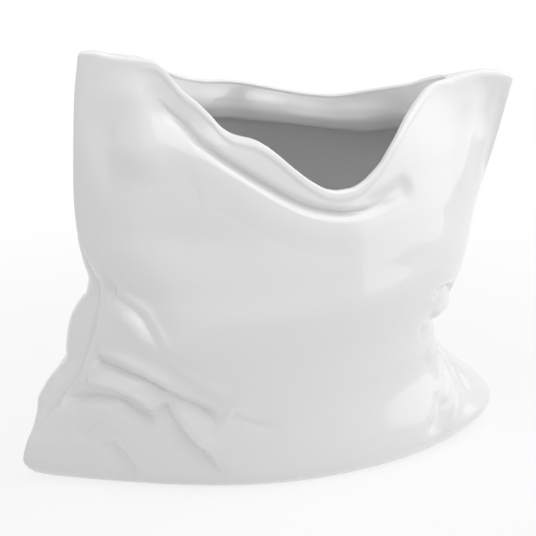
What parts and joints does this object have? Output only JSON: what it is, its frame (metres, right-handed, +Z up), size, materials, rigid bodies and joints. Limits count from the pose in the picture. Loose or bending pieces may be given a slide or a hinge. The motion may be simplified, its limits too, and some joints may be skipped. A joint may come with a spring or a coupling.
{
  "type": "pillow vase",
  "caption": "Upright pillow-shaped porcelain vase with pinched corners, drawn-in waist, soft folds and a slumped mouth with a rolled hem.",
  "frame": {"origin": "middle of the box's underside, on the surface that the vase stands on", "axes": "+Z up out of the mouth, +X to the right of the front with the slumped lip, +Y to the back"},
  "size_m": [0.2771, 0.1288, 0.2216],
  "materials": {
    "white_glaze": "clear high-gloss glaze over white porcelain",
    "bare_porcelain": "unglazed smooth porcelain, wiped clean where the vase stands"
  },
  "bodies": {
    "root": {"front_panel": "white_glaze", "back_panel": "white_glaze", "front_hem": "white_glaze", "back_hem": "white_glaze", "base_slab": "bare_porcelain"}
  },
  "joints": []
}
